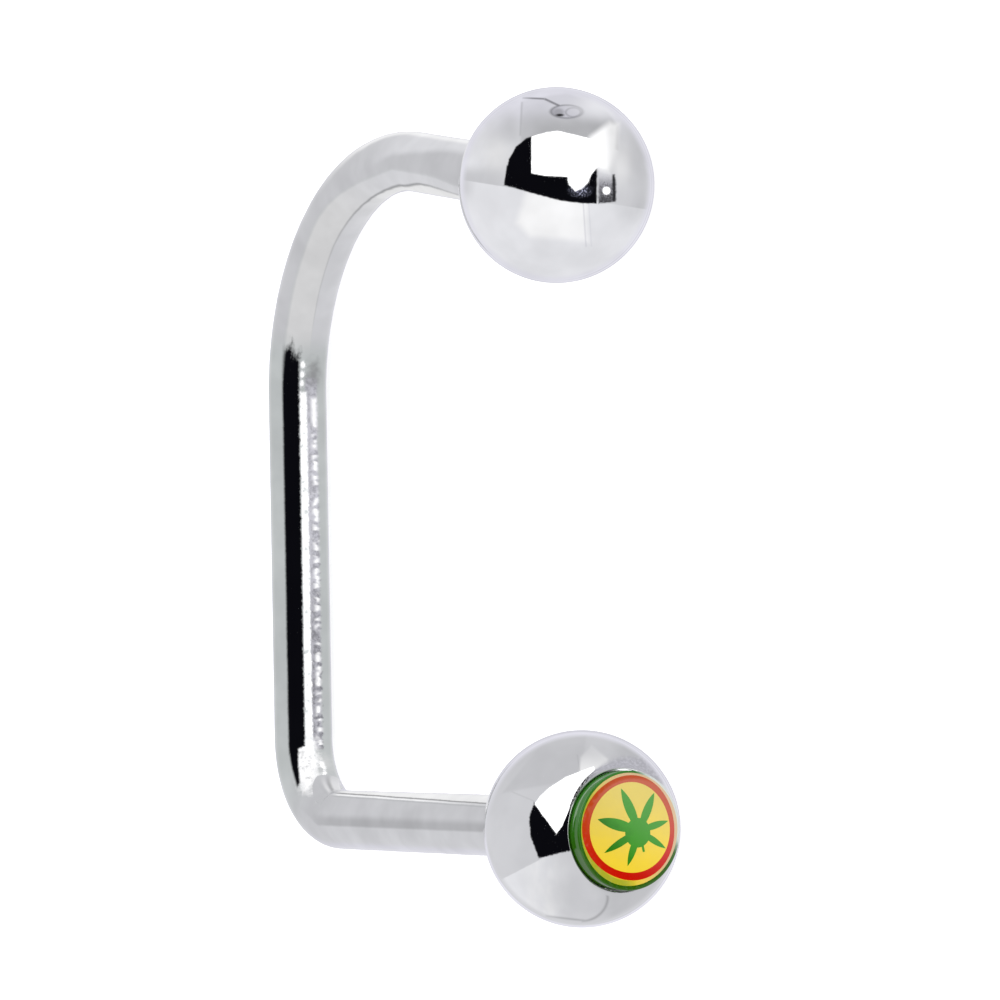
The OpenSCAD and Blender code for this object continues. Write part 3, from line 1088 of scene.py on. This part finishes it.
def make_world():
    """The painted studio reflection for mirrors, and plain soft white for all else."""
    world = bpy.data.worlds.new("studio")
    bpy.context.scene.world = world
    world.use_nodes = True
    world.cycles.sampling_method = "NONE"
    tree = world.node_tree
    tree.nodes.clear()
    where = add_node(tree, "TexCoord", {}).outputs["Generated"]
    seen = studio(*mirror_place(where, *studio_front(TOP_BALL_AT)))
    mirrored = add_node(tree, "Background", {"Color": seen})
    backdrop = add_node(tree, "Background", {"Color": (1, 1, 1, 1), "Strength": BACKDROP})
    glossy = add_node(tree, "LightPath", {}).outputs["Is Glossy Ray"]
    add_output(tree, "OutputWorld", glossy, backdrop, mirrored)


# Curved cards close to the balls and along the wire, with painted reflections, seen only by what mirrors them
# from within

CARD_R = 4.0
CARD_REACH = 0.985
WIRE_CARD_R = 1.2
WIRE_CARD_REACH = 0.985


def card_angle(reach):
    """Angle off the view at which a mirror ball's ray from that place meets the card."""
    return 2 * math.asin(reach) - math.asin(BALL_R * reach / CARD_R)


def make_card(name, points, places, faces, material):
    """A stage card with a painted reflection, which shows only in mirrors. Its places say what part of the
    pattern is where.
    """
    mesh = bpy.data.meshes.new(name)
    mesh.from_pydata([tuple(p * MM) for p in points], [], faces)
    layer = mesh.uv_layers.new(name="mirror")
    for loop in mesh.loops:
        layer.data[loop.index].uv = places[loop.vertex_index]
    mesh.materials.append(material)
    card = add_object(name, mesh)
    for ray in ("camera", "diffuse", "transmission", "volume_scatter", "shadow"):
        setattr(card, "visible_" + ray, False)


def make_ball_card(name, ball_middle, pattern, rings=60, columns=128):
    """A bowl round a ball's front, with the painted reflection that the ball mirrors."""
    view, right, up = studio_front(ball_middle)
    middle = Vector(ball_middle)
    points = [middle + view * CARD_R]
    places = [(0.0, 0.0)]
    for i in range(1, rings + 1):
        # closer rings towards the edge, where the card curves back fastest
        reach = CARD_REACH * math.sin(math.pi / 2 * i / rings) ** 0.9
        off = card_angle(reach)
        for j in range(columns):
            turn = 2 * math.pi * j / columns
            side = right * math.cos(turn) + up * math.sin(turn)
            points.append(middle + (view * math.cos(off) + side * math.sin(off)) * CARD_R)
            places.append((reach * math.cos(turn), reach * math.sin(turn)))
    # faces look in towards the ball
    faces = [(0, 1 + j, 1 + (j + 1) % columns)[::-1] for j in range(columns)]
    faces += grid_faces(rings, columns, 1)

    def fade(x, y):
        return from_middle(x, y).ramp(CARD_REACH - 0.025, CARD_REACH - 0.005)

    make_card(name, points, places, faces, card_material(name + "_light", pattern, fade))


def sheath_spot(middle, along, front, across):
    """Where the ray leaves the wire's card that the wire mirrors at a place across it."""
    normal = np.cross(along, front) * across + front * math.sqrt(1 - across ** 2)
    spot = middle + normal * WIRE_R
    ray = spot - np.array(CAMERA_AT)
    ray /= np.linalg.norm(ray)
    ray -= 2 * (ray @ normal) * normal
    outward = WIRE_R * (ray @ normal)
    size = 1 - (ray @ along) ** 2
    way = (math.sqrt(outward ** 2 + size * (WIRE_CARD_R ** 2 - WIRE_R ** 2)) - outward) / size
    return spot + ray * way


def make_wire_card(columns=56):
    """A half sheath just off the wire, with the painted reflection that the wire mirrors. Its places are the
    place across the wire and the length along it.
    """
    points = []
    places = []
    across = np.linspace(-WIRE_CARD_REACH, WIRE_CARD_REACH, columns)
    rows = [row for row in wire_line() if row[2] == "wire"]
    run = WIRE_INSET
    before = rows[0][0]
    for centre, way, _, _ in rows:
        run += float(np.linalg.norm(centre - before))
        before = centre
        middle = LIE[:3, :3] @ np.array([*centre, 0.0]) + LIE[:3, 3]
        along = LIE[:3, :3] @ np.array([*way, 0.0])
        front = np.array(CAMERA_AT) - middle
        front -= along * (front @ along)
        front /= np.linalg.norm(front)
        for place in across:
            points.append(sheath_spot(middle, along, front, place))
            places.append((place, run))
    faces = []
    for i in range(len(rows) - 1):
        for a in range(i * columns, (i + 1) * columns - 1):
            faces.append((a, a + columns, a + columns + 1, a + 1))

    def fade(x, y):
        edge = x.size().ramp(WIRE_CARD_REACH - 0.02, WIRE_CARD_REACH - 0.002)
        return edge.larger(y.ramp(0.4, 0.2))

    make_card("wire_card", points, places, faces, card_material("wire_card_light", studio_wire, fade))


def card_material(name, pattern, fade):
    """Glows on its inner side with a painted reflection, and is clear where fade is 1."""
    material = new_material(name)
    material.cycles.emission_sampling = "NONE"
    tree = material.node_tree
    where = add_node(tree, "UVMap", {}, uv_map="mirror").outputs[0]
    x, y = (Value(s) for s in add_node(tree, "SeparateXYZ", {0: where}).outputs[:2])
    glow = add_node(tree, "Emission", {"Color": pattern(x, y)})
    clear = add_node(tree, "BsdfTransparent", {})
    outside = Value(add_node(tree, "NewGeometry", {}).outputs["Backfacing"])
    add_output(tree, "OutputMaterial", outside.larger(fade(x, y)), glow, clear)
    return material


# Materials

def new_material(name):
    material = bpy.data.materials.new(name)
    material.use_nodes = True
    material.node_tree.nodes.clear()
    return material


def with_shader(material, inputs):
    """The material, with its one shader added."""
    shader = add_node(material.node_tree, "BsdfPrincipled", inputs)
    add_node(material.node_tree, "OutputMaterial", {"Surface": shader.outputs[0]})
    return material


def millimetres(material, *stretch):
    """The piece's own coordinates in millimetres, stretched if asked."""
    coordinates = add_node(material.node_tree, "TexCoord", {}).outputs["Object"]
    return stretched(coordinates, *(s / MM for s in stretch or (1.0, 1.0, 1.0)))


def bump(height, depth_mm, **under):
    """The normal of a surface of that height, over an earlier Normal if one is given."""
    inputs = {"Strength": 1.0, "Distance": depth_mm * MM, "Height": height, **under}
    return add_node(height.tree, "Bump", inputs).outputs[0]


def steel_material(name, polish, ripple_mm, ripple_scale, scratch_mm):
    """Polished surgical steel: fine unevenness, hair scratches and faint handling marks."""
    material = new_material(name)
    where = millimetres(material)
    marks = noise(where, 0.55, 3.0, 0.6)
    fine = noise(where, 3.5, 3.0, 0.6)
    ripple = bump(noise(where, ripple_scale, 2.0, 0.5), ripple_mm)
    hair = noise(millimetres(material, 3.0, 16.0, 5.0), 1.4, 3.0, 0.65)
    worn = tuple(c * 0.93 for c in STEEL_COLOUR)
    return with_shader(material, {
        "Base Color": Paint(marks.ramp(0.35, 0.65), STEEL_COLOUR, worn),
        "Metallic": 1.0,
        "Roughness": marks.ramp(0.42, 0.72, *polish) + fine.ramp(0.5, 0.8, 0.0, polish[0] * 0.4),
        "Normal": bump(hair.ramp(0.56, 0.66), scratch_mm, Normal=ripple),
    })


def disc_place(where):
    """A place on the disc in millimetres from the ball's middle: right, up and out of its face."""
    found = []
    for axis in (-AT_LOWER[:3, 2], AT_LOWER[:3, 1], AT_LOWER[:3, 0]):
        run = Value(vector_math("DOT_PRODUCT", where, tuple(axis)))
        found.append(run - float(AT_LOWER[:3, 3] @ axis))
    return found


def disc_material(name, low, high, way=(0.0, 1.0), span=(-0.8, 0.8), painted_edge_tones=()):
    """Glossy resin print under a clear hard coat: mottled, with a painted sheen fading from low to high over
    span along way.

    The rim colours are painted highlight and shade on the front face's edge, each over a span from the lower
    left to the upper right."""
    material = new_material(name)
    where = millimetres(material)
    mottle = noise(where, 2.6, 4.0, 0.65) - 0.5
    right, upward, outward = disc_place(where)
    along = right * (way[0] / DISC_R) + upward * (way[1] / DISC_R)
    # painted sheen: the colour fades from low to high along way, towards where the glossy face catches the
    # light; the mottle is the print's own uneven tone
    colour = Paint((along + mottle * 0.8).ramp(*span), low, high)
    # painted highlight and painted shade on the front face's edge
    for reach, painted_tone in painted_edge_tones:
        edge = from_middle(right, upward).ramp(1.22, 1.26) * outward.ramp(FACE_X - 0.2, FACE_X - 0.08)
        side = (right * 0.88 + upward * 0.47) * (1 / DISC_R) + mottle * 0.1
        colour.add(edge * side.ramp(*reach), painted_tone)
    return with_shader(material, {
        "Base Color": colour,
        "Roughness": noise(where, 5.0, 2.0).ramp(0.3, 0.7, 0.3, 0.42),
        "Specular IOR Level": 0.0,
        "Coat Weight": 1.0,
        "Coat Roughness": 0.04,
        "Coat IOR": 1.5,
        "Coat Normal": bump(noise(where, 1.7, 1.0, 0.4), 0.002),
    })


def rgb(*levels):
    return tuple(linear(v) for v in levels)


def dress(piece, material, body, node):
    piece.data.materials.append(material)
    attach(piece, body)
    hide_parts(node)


def make_pieces():
    wire = steel_material("wire_steel", (0.035, 0.09), 0.002, 3.8, 0.0002)
    ball = steel_material("ball_steel", (0.025, 0.07), 0.0006, 1.6, 0.00007)
    # The second colour of each is the lit end of the painted sheen. The pale rims are painted highlights on
    # the upper right edge, the olive rim a painted shade at the lower left.
    green = disc_material("disc_green", rgb(38, 80, 2), rgb(40, 100, 24),
                          painted_edge_tones=[((0.58, 0.8), rgb(182, 189, 185))])
    yellow = disc_material("disc_yellow", rgb(216, 187, 46), rgb(193, 173, 78),
                           painted_edge_tones=[((-0.5, 0.5), rgb(186, 158, 122)), ((-0.15, -0.55), rgb(150, 152, 36))])
    red = disc_material("disc_red", rgb(176, 14, 1), rgb(164, 64, 24))
    leaf = disc_material("disc_leaf", rgb(30, 104, 0), rgb(44, 128, 4), (0.9, 0.3), (-0.5, 0.1))
    dress(make_bar(), wire, "wire", "bar")
    dress(make_top_ball(), ball, "top_ball", "top_ball")
    dress(make_lower_ball(), ball, "lower_ball", "lower_ball")
    dress(make_disc_rim(), green, "lower_ball", "disc_rim")
    dress(make_disc_field(), yellow, "lower_ball", "disc_field")
    dress(make_disc_ring(), red, "lower_ball", "disc_ring")
    dress(make_disc_leaf(), leaf, "lower_ball", "disc_leaf")


# Stage

def make_camera():
    """The camera that was fitted to the photo's outlines."""
    data = bpy.data.cameras.new("camera")
    data.lens = CAMERA_LENS
    data.sensor_width = CAMERA_SENSOR
    data.clip_start = 0.01
    data.clip_end = 20.0
    camera = add_object("camera", data)
    right = Vector(CAMERA_RIGHT).normalized()
    up = Vector(CAMERA_UP)
    up = (up - right * up.dot(right)).normalized()
    back = right.cross(up)
    turn = Matrix((right, up, back)).transposed().to_4x4()
    camera.matrix_world = Matrix.Translation(Vector(CAMERA_AT) * MM) @ turn
    bpy.context.scene.camera = camera


def make_floor():
    """A wide pale tabletop that the mirror-like steel doesn't show."""
    mesh = bpy.data.meshes.new("floor")
    corners = [(a * FLOOR_HALF, b * FLOOR_HALF, 0) for a, b in ((-1, -1), (1, -1), (1, 1), (-1, 1))]
    mesh.from_pydata(corners, [], [(0, 1, 2, 3)])
    floor = add_object("floor", mesh)
    material = new_material("floor_white")
    shade = noise(millimetres(material), 0.02, 2.0)
    mesh.materials.append(with_shader(material, {
        "Base Color": Paint(shade, (0.9, 0.9, 0.9), (0.92, 0.92, 0.92)),
        "Roughness": 0.7,
        "Emission Color": (1, 1, 1, 1),
        "Emission Strength": FLOOR_GLOW,
    }))
    floor.visible_glossy = False


def make_lamp():
    """A wide soft lamp overhead, which no mirror shows."""
    data = bpy.data.lights.new("overhead", "AREA")
    data.shape = "DISK"
    data.size = LAMP_SIZE
    data.energy = LAMP_POWER
    lamp = add_object("overhead", data)
    lamp.location = LAMP_AT
    lamp.rotation_mode = "QUATERNION"
    lamp.rotation_quaternion = (-Vector(LAMP_AT)).to_track_quat("-Z", "Y")
    lamp.visible_glossy = False
    lamp.visible_camera = False


make_camera()
make_world()
make_ball_card("top_card", TOP_BALL_AT, studio)
make_ball_card("lower_card", LOWER_BALL_AT, studio_low)
make_wire_card()
make_floor()
make_lamp()
make_pieces()

scene = bpy.context.scene
scene.view_settings.view_transform = "Standard"
scene.view_settings.look = "None"
